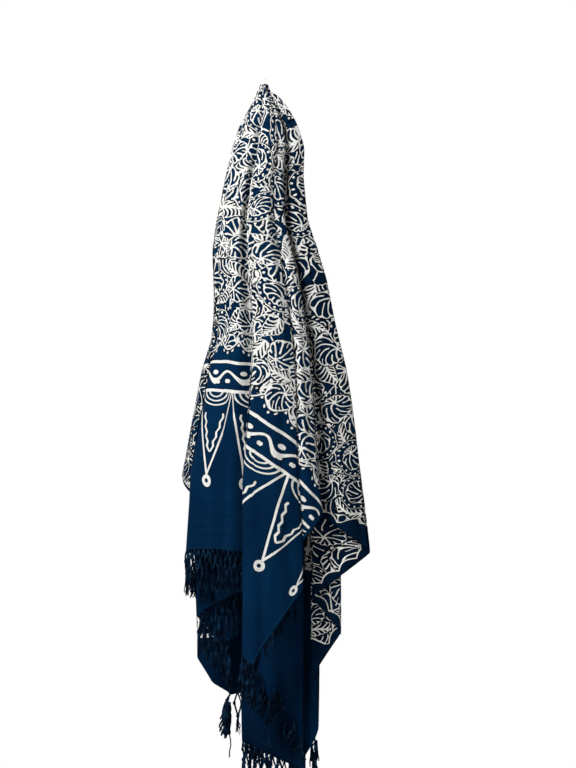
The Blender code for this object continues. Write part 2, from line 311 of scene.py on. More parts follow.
# creases that stay from folding and handling, by stretch and in millimetres: across and along at each end on
# the flat cloth, half width and depth, less than 0 for a valley
creases = {
    "left_front_panel": [
        (-30, 565, 70, 548, 6, -2.6), (-10, 610, 60, 588, 6.5, -3), (-110, 700, 80, 716, 7, 2.2),
        (-100, 748, 60, 740, 6, -2), (-80, 440, -100, 720, 8, -3), (30, 470, 60, 760, 11, 3),
    ],
    "centre_panel": [
        (330, 380, 470, 560, 7, -2.6), (420, 460, 540, 690, 9, 3.2), (440, 600, 520, 780, 10, -3),
    ],
    "right_front_fold": [(330, 270, 480, 400, 6, -3)],
    "right_side_panel": [
        (330, -300, 560, -520, 9, -4), (280, -310, 470, -500, 10, 4), (400, -330, 570, -460, 6, -2.6),
    ],
    "lower_front_panel": [(300, -600, 430, -1000, 12, 4), (380, -700, 500, -1020, 9, -3)],
    "back_outer_panel": [
        (-420, -60, -560, 60, 10, -4), (-300, 50, -540, 200, 9, 3.6), (-320, 120, -530, 290, 6, -2.6),
    ],
}

# where a pass falls away behind the one before it, by stretch: angle, half width in degrees, depth
fallsAway = {
    "left_front_panel": [(3.4, 2.8, 0.0070)],
    "centre_panel": [(42.0, 2.6, 0.0045)],
    "back_outer_panel": [(281.0, 1.4, -0.0045), (288.5, 1.8, -0.0050), (296.0, 1.3, -0.0040)],
}

# how the soft folds run and swell, how creases come and go, and a small sideways sway
ruffle = {
    "seed": 2.399,  # each pass has its own phase
    "wanderRate": 6.1,  # radians a metre down the cloth
    "swellRate": 8.3,
    "swellSeed": 2.1,
    "swell": (0.65, 0.35),
    "windowPower": 0.6,  # how late the folds fade at a pass's own edges
    # reach where they are fully deep, and how deep, on the stretches that show and on the others
    "showing": (0.34, 1.0),
    "hidden": (0.50, 1.3),
    "showingStretches": [
        "left_front_panel", "centre_panel", "right_front_fold", "right_side_panel", "back_outer_panel",
    ],
    "foldsFrom": 0.03,  # reach where they start
    # how far a crease wanders, how fast along it and from one to the next, and the shares of its length where
    # it comes and goes
    "creaseWander": (0.004, 5.0, 40),
    "creaseComes": (-0.12, 0.18),
    "creaseGoes": (0.82, 1.12),
    "fallsFrom": (0.08, 0.20),
    "sideways": 0.0016,
    "sidewaysRate": 12.7,
    "sidewaysSeed": 1.7,
    "sidewaysFrom": (0.05, 0.50),
}


def hump(value):
    # 1 in the middle, about a third at a distance of 1
    return np.exp(-(value ** 2))


def ruffled(name, angles, within, passOf, reach):
    # how far the cloth stands forward of its plain pass, and how far its folds stray sideways
    p = ruffle
    turn = np.radians(angles)
    seed = passOf * p["seed"]
    least, more = p["swell"]
    swell = least + more * np.sin(p["swellRate"] * reach + p["swellSeed"] * seed)
    forward = np.zeros_like(reach)
    for perRadian, deep, wander in softFolds:
        phase = perRadian * turn + wander * np.sin(p["wanderRate"] * reach + seed) + seed
        forward = forward + deep * np.sin(phase) * swell
    window = np.sin(math.pi * np.clip(within, 0.0, 1.0)) ** p["windowPower"]
    early, much = p["showing"] if name in p["showingStretches"] else p["hidden"]
    forward = forward * window * smoothStep(reach, p["foldsFrom"], early) * much
    across, along = reach * np.sin(turn), reach * np.cos(turn)
    stray, strayRate, straySeed = p["creaseWander"]
    for crease in creases.get(name, []):
        x0, y0, x1, y1, half, deep = (value / 1000 for value in crease)
        runX, runY = x1 - x0, y1 - y0
        length = math.hypot(runX, runY)
        share = ((across - x0) * runX + (along - y0) * runY) / length ** 2
        aside = ((across - x0) * runY - (along - y0) * runX) / length
        bent = aside + stray * np.sin(strayRate * share + straySeed * x0)
        fades = smoothStep(share, *p["creaseComes"]) * (1 - smoothStep(share, *p["creaseGoes"]))
        forward = forward + deep * hump(bent / half) * fades * window
    for angle, half, deep in fallsAway.get(name, []):
        forward = forward - deep * hump((angles - angle) / half) * smoothStep(reach, *p["fallsFrom"])
    sway = np.sin(p["sidewaysRate"] * reach + p["sidewaysSeed"] * seed)
    return forward, p["sideways"] * sway * smoothStep(reach, *p["sidewaysFrom"])


def drape(name, lines, angles, passOf, reach):
    # places of points at a reach from the hung point, columns in order round it and rows going down
    forward, sideways = ruffled(name, angles, lines[:, 7], passOf, reach)
    depth = reach.copy()
    for _ in range(cloth["settles"]):
        place, layer = placeAt(lines, depth)
        x, y = spotIn(depth, place, layer)
        drawnIn = cloth["waist"] * hump((depth - cloth["waistAt"]) / cloth["waistHalf"])
        x = x + drawnIn * smoothStep(-place, *cloth["waistPlaces"])
        depth = np.sqrt(np.maximum(reach * reach - x * x - y * y, 0.0))
    back = np.minimum(peak[1] + y - forward, cloth["wallFace"])
    return np.stack([peak[0] + x + sideways, back, peak[2] - depth], axis=-1)


def flatPlaces(points, angles, reach):
    # where each point lies on the flat cloth; near the top, where folds crowd, widths are taken as they hang
    steps = np.linalg.norm(np.diff(points, axis=1), axis=2)
    run = np.concatenate([np.zeros((len(points), 1)), np.cumsum(steps, axis=1)], axis=1)
    middle = len(angles) // 2
    run = run - run[:, middle:middle + 1]
    turn = np.radians(angles)
    flat = reach * (turn - turn[middle])
    share = smoothStep(reach, *cloth["crowded"])
    bearing = turn[middle] + (run * (1 - share) + flat * share) / reach
    return np.stack([reach * np.sin(bearing), reach * np.cos(bearing)], axis=-1)


def gridMesh(points, flat):
    # a grid with its points moved to their places, and the flat cloth as its map
    rows, columns = points.shape[:2]
    shape = bmesh.new()
    bmesh.ops.create_grid(shape, x_segments=columns - 1, y_segments=rows - 1, size=1)
    mesh = bpy.data.meshes.new("grid")
    shape.to_mesh(mesh)
    shape.free()
    spots = np.empty(len(mesh.vertices) * 3)
    mesh.vertices.foreach_get("co", spots)
    spots = spots.reshape(-1, 3)
    column = np.rint((spots[:, 0] + 1) / 2 * (columns - 1)).astype(int)
    row = np.rint((spots[:, 1] + 1) / 2 * (rows - 1)).astype(int)
    mesh.vertices.foreach_set("co", points[row, column].ravel())
    corner = np.empty(len(mesh.loops), dtype=int)
    mesh.loops.foreach_get("vertex_index", corner)
    layer = mesh.uv_layers.new(name="flatCloth")
    layer.uv.foreach_set("vector", flat[row, column][corner].astype(np.float32).ravel())
    mesh.update()
    return mesh


def addPiece(name, mesh, slot, *nodes):
    piece = addObject(name, mesh)
    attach(piece, "root")
    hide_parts(*nodes)
    return piece


def makeShell(piece, materials, area):
    # a thin shell whose other side has the second material
    own = sum(face.area for face in piece.data.polygons)
    print("stage:", piece.name, "hangs at", round(own / area, 2), "of its cut")
    for material in materials:
        piece.data.materials.append(material)
    shell = piece.modifiers.new("cloth thickness", "SOLIDIFY")
    shell.thickness = cloth["wall"]
    shell.offset = 0
    shell.material_offset = 1
    piece.data.shade_smooth()
    piece.data.set_sharp_from_angle(angle=math.radians(cloth["sharp"]))


def flatArea(angles, top):
    turn = np.radians(angles)
    sector = (hemReach(angles) ** 2 - top * top) / 2
    return float(np.sum((sector[1:] + sector[:-1]) / 2 * np.diff(turn)))


# angles of the folds at the right selvedge, and where they lie by the lengths of hem between them
printTurns = (
    (-9.0, 134.6, 138.5, 142.0, 145.0, 148.0, 360.0),
    (-9.0, 134.6, 140.2, 143.3, 146.1, 148.0, 360.0),
)


def makeStretch(name, materials):
    lines, angles, passOf = (stretches[name][key] for key in ("lines", "angles", "passOf"))
    top = cloth["gatherReach"]
    hem = hemFall(angles)
    rows = round((hem.max() - top) / cloth["row"])
    share = np.linspace(0.0, 1.0, rows + 1)[:, None]
    reach = top + (hem - top)[None, :] * share
    points = drape(name, lines, angles, passOf, reach)
    printAngles = np.interp(angles, *printTurns)
    cutReach = top + (hemReach(angles) - top)[None, :] * share + hemReach(printAngles) - hemReach(angles)
    mesh = gridMesh(points, flatPlaces(points, printAngles, cutReach))
    piece = addPiece("sarong_" + name, mesh, "batik_cotton", name)
    area = flatArea(angles, top)
    makeShell(piece, materials, area)


gatheredTop = {
    # the stretches whose first pleats show round the hook; the rest are drawn in behind them
    "stretches": [
        "left_front_panel", "centre_panel", "right_front_fold", "right_side_panel", "right_under_fold",
        "lower_front_panel", "back_left_panel", "back_outer_panel", "left_side_strip",
    ],
    "tip": 0.45,  # how narrow the very top is drawn
    "tipReach": (0.002, 0.026),
    "reach": [
        0.0025, 0.005, 0.008, 0.012, 0.017, 0.023, 0.030, 0.037, 0.044, 0.051, 0.058, 0.065, 0.0725, 0.080,
    ],
}


def makeTop(materials):
    # the first stretch of the passes that show, from the hung point down, as one piece
    whole = bmesh.new()
    for name in gatheredTop["stretches"]:
        part = stretches[name]
        lines, angles, passOf = part["lines"], part["angles"], part["passOf"]
        reach = np.repeat(np.array(gatheredTop["reach"])[:, None], len(angles), axis=1)
        points = drape(name, lines, angles, passOf, reach)
        drawn = gatheredTop["tip"] + (1 - gatheredTop["tip"]) * smoothStep(reach, *gatheredTop["tipReach"])
        points[..., :2] = peak[:2] + (points[..., :2] - peak[:2]) * drawn[..., None]
        mesh = gridMesh(points, flatPlaces(points, angles, reach))
        whole.from_mesh(mesh)
        bpy.data.meshes.remove(mesh)
    mesh = bpy.data.meshes.new("sarong_gathered_top")
    whole.to_mesh(mesh)
    whole.free()
    piece = addPiece("sarong_gathered_top", mesh, "batik_cotton", "gathered_top")
    reach = cloth["gatherReach"]
    area = math.pi * reach * reach
    makeShell(piece, materials, area)


# node maths: a Wire is a node's output that can be added, multiplied and compared like a number
class Wire:
    def __init__(self, out):
        self.out = out
        self.tree = out.id_data

    __add__ = __radd__ = lambda self, other: calc("ADD", self, other)
    __sub__ = lambda self, other: calc("SUBTRACT", self, other)
    __rsub__ = lambda self, other: calc("SUBTRACT", other, self)
    __mul__ = __rmul__ = lambda self, other: calc("MULTIPLY", self, other)
    __truediv__ = lambda self, other: calc("DIVIDE", self, other)
    __gt__ = lambda self, other: calc("GREATER_THAN", self, other)
    __lt__ = lambda self, other: calc("LESS_THAN", self, other)
    __abs__ = lambda self: calc("ABSOLUTE", self)


def feed(node, values):
    # joins the node's sockets, by name or number, to the values that are Wires, and sets the others
    for key, value in values.items():
        if isinstance(value, Wire):
            node.id_data.links.new(value.out, node.inputs[key])
        else:
            node.inputs[key].default_value = value


def addNode(tree, kind, values=None, **settings):
    node = tree.nodes.new(kind)
    for key, value in settings.items():
        setattr(node, key, value)
    feed(node, values or {})
    return node


def calc(kind, *values, clamp=False):
    tree = next(value.tree for value in values if isinstance(value, Wire))
    node = addNode(tree, "ShaderNodeMath", dict(enumerate(values)), operation=kind, use_clamp=clamp)
    return Wire(node.outputs[0])


def most(*values):
    best = values[0]
    for value in values[1:]:
        best = calc("MAXIMUM", best, value)
    return best


def far(x, y):
    return calc("SQRT", x * x + y * y)


def turned(x, y, angle):
    cosine = calc("COSINE", angle)
    sine = calc("SINE", angle)
    return x * cosine + y * sine, y * cosine - x * sine


def ramp(value, slope, start):
    return calc("MULTIPLY_ADD", value, slope, start, clamp=True)


def inked(distance, half=0.0, soft=0.0032):
    # 1 well within half of the distance, 0 well past it; the line that is drawn ends where it passes 0.5
    return ramp(half - distance, 1 / soft, 0.5)


def over(below, above, mask):
    return below + (above - below) * mask


def zigzag(value):
    # 0.5 at every whole number, 0 half way between them
    return abs(calc("FRACT", value) - 0.5)


def scallops(value, pitch):
    return abs(calc("SINE", value * (math.pi / pitch)))


def fromLine(value, pitch):
    # distance to the nearest of the lines that stand a pitch apart
    return (0.5 - zigzag(value / pitch)) * pitch


def around(x, y, count):
    # the angle about a middle, with this many steps to the full turn
    return calc("ARCTAN2", y, x) * (count / math.tau)


def joined(x, y):
    return Wire(addNode(x.tree, "ShaderNodeCombineXYZ", {"X": x, "Y": y}).outputs[0])


def parts(vector):
    return [Wire(out) for out in addNode(vector.tree, "ShaderNodeSeparateXYZ", {"Vector": vector}).outputs]


def noise(vector, scale, detail=1.0, dimensions="2D", out=0):
    values = {"Vector": vector, "Scale": scale, "Detail": detail}
    return Wire(addNode(vector.tree, "ShaderNodeTexNoise", values, noise_dimensions=dimensions).outputs[out])


def cells(vector, scale, randomness=1.0, feature="F1"):
    values = {"Vector": vector, "Scale": scale, "Randomness": randomness}
    return addNode(vector.tree, "ShaderNodeTexVoronoi", values, voronoi_dimensions="2D", feature=feature)


def mixed(share, below, above):
    # a colour is a Wire, or the red, green and blue of one
    below, above = (colour if isinstance(colour, Wire) else (*colour, 1) for colour in (below, above))
    node = addNode(share.tree, "ShaderNodeMix", {0: share, 6: below, 7: above}, data_type="RGBA")
    return Wire(node.outputs[2])


def newGroup(name, inputs, outputs):
    tree = bpy.data.node_groups.new(name, "ShaderNodeTree")
    for way, sockets in (("INPUT", inputs), ("OUTPUT", outputs)):
        for key, kind in sockets.items():
            tree.interface.new_socket(name=key, in_out=way, socket_type="NodeSocket" + kind)
    into = tree.nodes.new("NodeGroupInput")
    return [Wire(into.outputs[key]) for key in inputs], tree.nodes.new("NodeGroupOutput")


def useGroup(tree, name, values):
    node = addNode(tree, "ShaderNodeGroup", values, node_tree=bpy.data.node_groups[name])
    return [Wire(out) for out in node.outputs]


# the wax-resist print, drawn in metres on the flat cloth
# along runs from the hung point to the near end, across from the middle line to the selvedge
waxPrint = {
    "strays": ((17, 0.0090), (130, 0.0008)),  # how fine a drawn line's strays are, and how far they go
    "borderStray": 0.22,  # share of them that the border's lines keep
    "lineHalf": 0.00102,
    "bow": 0.0115, "bowSlope": 0.0600,  # the border lies further out on the middle line than at the selvedges
    # the field of flowers ends in scallops with a hem line and beads
    "fieldEnd": 0.4480, "scallop": 0.016, "scallopPitch": 0.046, "hemLine": 0.0015,
    "beadPitch": 0.0115, "beadsOut": 0.0062, "bead": 0.0021,
    "sideFieldFrom": 0.3600, "sideFieldEnd": 0.7200,  # at the far end the flowers run on along the selvedges
    "selvedgeLonger": (0.485, 0.10), "leftLonger": (-0.530, 0.11),  # from how far across, and by how much
    # at the near end one stretch on the left runs on: its middle and half width, and where it ends
    "leftField": (-0.365, 0.065), "leftFieldEnd": 0.6000,
    # plain cloth at the left selvedge and at the right one, how much more at its near end, and by its far
    # corner: middle, half length, fade and how much more
    "leftMargin": 0.0050, "rightMargin": 0.0020, "nearMargin": 0.0200,
    "farCornerMargin": (0.556, 0.030, 0.02, 0.0200),
    "petalPitch": 0.034, "petal": 0.0065, "rail": 0.0013,
    "borderMargin": 0.006,
    "edge": 0.47,  # how much of the drawn softness counts as wax
    # how much less of it for a metre across on the right, and at the left selvedge; where each starts, as the
    # slope of a line or a place across, and how softly
    "finerRight": 0.28, "fineLean": -0.64, "fineFade": (0.10, 0.04),
    "finerLeft": 0.22, "finerLeftFrom": -0.30, "finerLeftFade": 0.05,
    "shadedRight": 0.45,  # painted shade: how much darker the navy between the lines is drawn on the right of the far end
    "sharpness": 6.4,
    "stain": 5.0,  # how far dye gathers along the wax
    "crackScale": 55.0, "crack": (0.012, 0.02),  # half width and fade, as shares of a cell
}
lineHalf = waxPrint["lineHalf"]


def scattered(across, along, motif):
    # the nearest motif of a loose lattice: place from its middle, two random numbers, distance to its border
    across, along = across + motif["shift"][0], along + motif["shift"][1]
    place = joined(across, along)
    scale, scatter = 1 / motif["pitch"], motif["scatter"]
    near, edge = (cells(place, scale, scatter, feature) for feature in ("F1", "DISTANCE_TO_EDGE"))
    middle = parts(Wire(near.outputs["Position"]))
    spin, size, curl = parts(Wire(near.outputs["Color"]))
    x, y = turned(across - middle[0], along - middle[1], spin * math.tau)
    return x, y, size, curl, Wire(edge.outputs["Distance"]) * motif["pitch"]


def byChance(share, leastAndMore):
    return share * leastAndMore[1] + leastAndMore[0]


def taper(out, widthAndTaper):
    return lineHalf * widthAndTaper[0] - out * widthAndTaper[1]


# fan flowers: ribs swell towards a heart near one side, dark petals with round ends lie between
# a pair is the least and how much more by chance; a line's pair is its width, as a share of the drawn line's,
# and how much narrower it is for a metre outwards
flower = {
    "pitch": 0.056, "scatter": 0.55, "shift": (0.0, 0.0),
    "radius": (0.0200, 0.0070),
    "flat": (0.85, 0.45),
    "heartShare": 0.50,  # how far the heart lies off the middle
    "heart": 0.0032,
    "ribs": 12, "rib": (1.35, 0.010),
    "twist": 62, "twistChange": 19,
    "lateRib": 0.0105,  # every second rib starts this far from the heart
    "lateBy": 0.01,  # how far from it the missing part is put
    "vein": 0.75, "veinEnd": 0.95, "veinedFrom": 0.45,
    "lobe": 0.0036, "rim": 0.0018, "rimCorner": 0.0040,
    "dots": 17, "dotsOut": 0.0062, "dot": 0.0020,
    "echo": 0.8, "echoOut": 0.0105, "ringedFrom": 0.62,  # only some have the dots and the rim's echo
    "clear": 0.0012, "ringClear": 0.0118,
    "between": 0.9,
}


def flowers(across, along):
    p = flower
    x, y, size, curl, edge = scattered(across, along, p)
    y = y * byChance(curl, p["flat"])
    radius = byChance(size, p["radius"])
    heartX = x + radius * p["heartShare"]
    out = far(heartX, y)
    turn = around(heartX, y, p["ribs"]) + out * (calc("SINE", curl * p["twistChange"]) * p["twist"])
    share = zigzag(turn)
    gap = out * (math.tau / p["ribs"])
    whole = far(x, y) + share * p["lobe"]
    late = (calc("FRACT", turn * 0.5 + 0.25) > 0.5) * inked(out, p["lateRib"])
    rib = inked((0.5 - share) * gap + late * p["lateBy"], taper(out, p["rib"]))
    vein = inked(share * gap, lineHalf * p["vein"]) * inked(radius * p["veinEnd"] - out)
    vein = vein * inked(0.0, size - p["veinedFrom"])
    rim = inked(radius - whole, calc("POWER", share * 2, 3) * p["rimCorner"] + p["rim"])
    petals = most(rib, vein, rim, inked(out, p["heart"])) * inked(whole, radius)
    dotAside = (calc("FRACT", around(x, y, p["dots"])) - 0.5) * whole * (math.tau / p["dots"])
    dots = inked(far(whole - radius - p["dotsOut"], dotAside), p["dot"])
    echo = inked(abs(whole - radius - p["echoOut"]), lineHalf * p["echo"])
    ringed = curl > p["ringedFrom"]
    mask = inked(whole, radius + p["ringClear"] * ringed + p["clear"])
    return most(petals, most(dots, echo) * ringed, inked(edge, lineHalf * p["between"])), mask


# fronds: a curved spine nearer one edge, with ribs that sweep off it in arcs
leaf = {
    "pitch": 0.046, "scatter": 0.8, "shift": (0.0210, 0.0130),
    "length": (0.0295, 0.008),
    "width": 0.0165, "narrower": 0.45,  # and how much of it goes towards the tip
    "curl": 34,
    "spineOff": 0.0042, "spine": 0.0019, "spineTaper": 0.03,
    "ribPitch": 0.0074, "ribLean": 1.5, "ribSweep": 52, "ribGap": 0.0050, "rib": (1.4, 0.050),
    "lobe": 0.0034, "rimIn": 0.0012, "rimCorner": 0.0022,
    "clear": 0.0018,
    "between": 0.8,
}


def leaves(across, along):
    p = leaf
    x, y, size, curl, edge = scattered(across, along, p)
    y = y + x * x * (curl - 0.5) * p["curl"]
    share = x / byChance(size, p["length"])
    body = far(share, y / (p["width"] * (1 - p["narrower"] * share)))
    off = abs(y + p["spineOff"])
    wave = zigzag((x - off * p["ribLean"] + off * off * p["ribSweep"]) / p["ribPitch"])
    fromEdge = (body - 1) * p["width"] + wave * p["lobe"]
    rim = inked(abs(fromEdge + p["rimIn"]), calc("POWER", wave * 2, 3) * p["rimCorner"] + lineHalf)
    spine = inked(off, p["spine"] - x * p["spineTaper"])
    ribs = inked((0.5 - wave) * p["ribGap"], taper(off, p["rib"]))
    wax = most(rim, spine, ribs) * inked(fromEdge)
    return most(wax, inked(edge, lineHalf * p["between"])), inked(fromEdge, p["clear"])


# what lies between: nested arcs or spread ribs, and plain pockets with a dot or two
fan = {
    "pitch": 0.033, "scatter": 0.9, "shift": (0.0310, -0.0170),
    "middleOff": 0.012,
    "arcPitch": 0.0068, "arc": 1.05,
    "ribs": 12, "rib": 1.3, "twist": 34, "ribbedFrom": 0.35,
    "dottedFrom": 0.64, "dots": ((0.0, 0.0, 0.0030), (0.0075, 0.0030, 0.0021)),  # place and radius
}


def fans(across, along):
    p = fan
    x, y, size, curl, edge = scattered(across, along, p)
    out = far(x + p["middleOff"], y)
    arcs = inked(fromLine(out, p["arcPitch"]), lineHalf * p["arc"])
    share = zigzag(around(x + p["middleOff"], y, p["ribs"]) + out * p["twist"])
    ribs = inked((0.5 - share) * out * (math.tau / p["ribs"]), lineHalf * p["rib"])
    inner = over(arcs, ribs, size > p["ribbedFrom"])
    dots = most(*[inked(far(x - dotX, y - dotY), radius) for dotX, dotY, radius in p["dots"]])
    inner = over(inner, dots, curl > p["dottedFrom"])
    return most(inner, inked(edge, lineHalf))


# the end border: two lines with a scroll between them, then a row of tall spikes with ringed tips
border = {
    "lines": (0.4690, 0.5170), "lineHalf": 0.0024,
    "scrollPitch": 0.064, "scroll": 0.0085, "scrollSlant": 0.75, "scrollHalf": 0.0036, "scrollTaper": 0.0048,
    # drops beside the scroll: how flat, place along it from its crest, place down from its middle, radius
    "eye": (0.55, 0.0, -0.0060, 0.0038),
    "seed": (1.0, 0.0300, 0.0075, 0.0033),
    "comma": (0.5, 0.004, 0.0095, 0.0027),
    "spikePitch": 0.1035,
    "spikeShift": 0.0410,  # from the middle line to a spike's own middle
    "squeeze": 0.96, "selvedgeSqueeze": (0.500, 0.55),
    # the spike beside the middle line is drawn narrower, the second one from it wider: slope and start of the
    # change across, and how much
    "uneven": ((55.6, 0.889, 0.0240), (10.0, -1.5, -0.0170)),
    "spikeHalfWidth": 0.0495, "spikeTip": 0.6580, "spikeSlant": 0.93, "spikeLine": 0.0019,
    "arcs": (0.0170, 0.0280, 0.0390), "arcTall": 1.6, "arcLine": 0.0017,
    # the zigzag inside a spike
    "zigzagPitch": 0.0165, "zigzag": 0.0075, "coreHalf": 0.0205, "coreFrom": 0.556, "coreLength": 0.066,
    "coreMiddle": 0.587, "coreReach": 0.033, "coreSlant": 0.85, "coreLine": 0.0018,
    "ringAt": 0.6680, "ring": 0.0068, "ringLine": 0.0031,
}


def endBorder(across, along):
    p = border
    start, top = p["lines"]
    lines = most(*[inked(abs(along - line), p["lineHalf"]) for line in p["lines"]])
    pitch = p["scrollPitch"]
    place = calc("FRACT", across / pitch + 0.25) - 0.5
    down = along - (start + top) / 2
    crest = abs(down - calc("SINE", across * (math.tau / pitch)) * p["scroll"]) * p["scrollSlant"]
    scroll = [inked(crest, p["scrollHalf"] - abs(place) * p["scrollTaper"])]
    drops = ((place, p["eye"]), (abs(place), p["seed"]), (place, p["comma"]))
    for run, (flat, aside, below, radius) in drops:
        scroll.append(inked(far(run * pitch * flat - aside, down - below), radius))
    scroll = most(*scroll) * inked(abs(down), (top - start) / 2)
    edgeFrom, edgeSqueeze = p["selvedgeSqueeze"]
    run = across * p["squeeze"] + calc("MAXIMUM", abs(across) - edgeFrom, 0.0) * edgeSqueeze + p["spikeShift"]
    for slope, change, much in p["uneven"]:
        run = run + ramp(across, slope, change) * much
    x = zigzag(run / p["spikePitch"] + 0.5) * p["spikePitch"]
    share = (along - top) / (p["spikeTip"] - top)
    aside = x - p["spikeHalfWidth"] * (1 - share)
    side = inked(abs(aside) * p["spikeSlant"], p["spikeLine"]) * inked(abs(share - 0.5), 0.5)
    inside = inked(aside) * inked(top - along)
    bow = far(x, (along - top) * p["arcTall"])
    arcs = most(*[inked(abs(bow - radius), p["arcLine"]) for radius in p["arcs"]]) * inked(top - along)
    core = p["coreHalf"] * (1 - (along - p["coreFrom"]) / p["coreLength"])
    core = x - core - zigzag(along / p["zigzagPitch"]) * p["zigzag"]
    inner = inked(abs(core) * p["coreSlant"], p["coreLine"])
    inner = inner * inked(abs(along - p["coreMiddle"]), p["coreReach"])
    ring = inked(abs(far(x, along - p["ringAt"]) - p["ring"]), p["ringLine"])
    return most(lines, scroll, side, (arcs + inner) * inside, ring)


def makePrint():
    outputs = {"Wax": "Float", "StainAndShade": "Float", "Crackle": "Float"}
    (flat,), out = newGroup("waxResistPrint", {"Flat": "Vector"}, outputs)
    p = waxPrint
    across, along, _ = parts(flat)
    strayX, strayY = 0.0, 0.0
    for scale, much in p["strays"]:
        aside, up, _ = parts(noise(flat, scale, out="Color"))
        strayX, strayY = (aside - 0.5) * (much * 2) + strayX, (up - 0.5) * (much * 2) + strayY
    drawnX, drawnY = across + strayX, along + strayY
    field = over(fans(drawnX, drawnY), *leaves(drawnX, drawnY))
    field = over(field, *flowers(drawnX, drawnY))
    endX = across + strayX * p["borderStray"]
    endY = abs(along) + strayY * p["borderStray"] + abs(across) * p["bowSlope"] - p["bow"]
    isFar = along < 0.0
    isRight = across > 0.0
    side = isFar * (abs(across) > p["sideFieldFrom"])
    leftMiddle, leftHalf = p["leftField"]
    left = (1 - isFar) * inked(abs(across - leftMiddle), leftHalf)
    edge = p["fieldEnd"] - p["scallop"] + scallops(endX, p["scallopPitch"]) * p["scallop"]
    (edgeFrom, edgeMore), (leftFrom, leftMore) = p["selvedgeLonger"], p["leftLonger"]
    longer = edgeMore * (abs(across) > edgeFrom) + leftMore * (across < leftFrom)
    edge = over(edge, p["sideFieldEnd"] + longer, side)
    edge = over(edge, p["leftFieldEnd"], left)
    inField = inked(endY, edge)
    hem = inked(abs(endY - edge), p["hemLine"])
    beads = inked(far(fromLine(endX, p["beadPitch"]), endY - edge - p["beadsOut"]), p["bead"]) * (1 - side)
    middle, half, fade, more = p["farCornerMargin"]
    corner = isFar * inked(abs(endY - middle), half, fade) * more
    plain = isRight * (p["rightMargin"] + (1 - isFar) * p["nearMargin"] + corner) + p["leftMargin"]
    petals = isRight * scallops(endY, p["petalPitch"]) * p["petal"]
    fromSelvedge = cloth["width"] / 2 - plain - abs(endX) - petals
    margin = inked(0.0, fromSelvedge)
    rail = inked(abs(fromSelvedge), p["rail"]) * inField
    ends = endBorder(endX, endY) * inked(abs(across), cloth["width"] / 2 - p["borderMargin"])
    drawn = most(field * inField * margin, hem * margin, beads, ends * (1 - side) * (1 - left), rail)
    # the right of the far end gets finer lines and painted shade
    farFade, leanFade = p["fineFade"]
    finerAndShadedRight = inked(along, 0.0, farFade) * inked(along * p["fineLean"] - across, 0.0, leanFade)
    finer = finerAndShadedRight * across * p["finerRight"]
    finer = finer + inked(across - p["finerLeftFrom"], 0.0, p["finerLeftFade"]) * p["finerLeft"]
    wax = ramp(drawn - finer - p["edge"], p["sharpness"], 0.5)
    # the stain also carries painted shade, darkening the navy between the lines on the right of the far end
    stain = most(calc("MULTIPLY", drawn, p["stain"], clamp=True), finerAndShadedRight * p["shadedRight"])
    cracks = cells(joined(drawnX, drawnY), p["crackScale"], feature="DISTANCE_TO_EDGE")
    crackle = inked(Wire(cracks.outputs["Distance"]), *p["crack"])
    feed(out, {"Wax": wax, "StainAndShade": stain, "Crackle": crackle})


# cotton: the print over an uneven navy, a plain weave, and faint creases
cotton = {
    "navy": (0.0004, 0.0105, 0.0360),
    "paleNavy": (0.0018, 0.0290, 0.0790),
    # clouds in the dye and slubs in the yarn: scale and detail, slope and start of the clouds
    "clouds": (9.0, 4.0),
    "cloudRamp": (1.6, -0.55),
    "slubs": (420.0, 2.0),
    "navyShares": (0.55, 0.25),  # how much of the clouds and of the slubs shows in the dye and in the cream
    "creamShares": (0.35, 0.20),
    "shadedNavy": (0.0002, 0.0062, 0.0215),  # painted shade: the navy of the far end is drawn darker, as the lower cloth hangs in shade
    "shadedFrom": 0.960,
    "shadedTo": 0.480,
    "shadedFades": (0.16, 0.08),
    "stain": (0.0006, 0.0026, 0.0056),  # dye gathers along the wax; the same colour is the painted shade on the right of the far end
    "stainShare": 0.95,
    "cream": (0.915, 0.922, 0.900),
    "warmCream": (0.800, 0.750, 0.660),
    "reverseShare": 0.80,
    "crackled": 0.35,  # how much of the wax the crackle takes off
    "threads": 0.00075,
    # painted highlight: a paler line along the rolled hem, where its edge catches the light: place from the
    # edge, half width and fade, least strength, where it stops
    "highlightNavy": (0.004, 0.033, 0.076),
    "hemHighlightIn": 0.0040,
    "hemHighlightLine": (0.0010, 0.0005),
    "hemHighlightLeast": 0.2,
    "hemHighlightEnd": 0.45,
    # painted highlights on pressed creases, where their ridges catch the light: across and along on the flat
    # cloth at each end
    "wearAndCreaseHighlights": [
        (-0.042, 0.625, 0.005, 0.608), (-0.110, 0.746, 0.040, 0.740), (-0.090, 0.760, 0.028, 0.757),
        (-0.075, 0.771, 0.020, 0.774), (0.044, 0.722, 0.005, 0.765),
    ],
    "creaseHighlightStray": 0.010,
    "creaseHighlight": (0.0005, 0.0010),
    "creaseHighlightEnd": (0.006, 0.016),  # how much shorter it is at each end, and the fade there
    "foldAcross": 0.1920,  # creases left from when it lay folded
    "foldAlong": 0.1300,
    "foldShift": 0.048,
    "foldStray": 0.030,
    "foldNoise": (7.0, 2.0),
    "foldLine": (0.0010, 0.003),
    "foldShade": 0.55,
    "heights": (0.5, 0.6, 4.0),  # of the weave and of the slubs, and how deep those creases are
    "roughness": (0.78, 0.12, 0.05),  # how much more on the slubs, and how much less on the wax's lines
    # fixed values of the shader
    "shader": {"Specular IOR Level": 0.02, "Sheen Weight": 0.008, "Sheen Roughness": 0.4},
    "bump": (0.25, 0.0002),
}


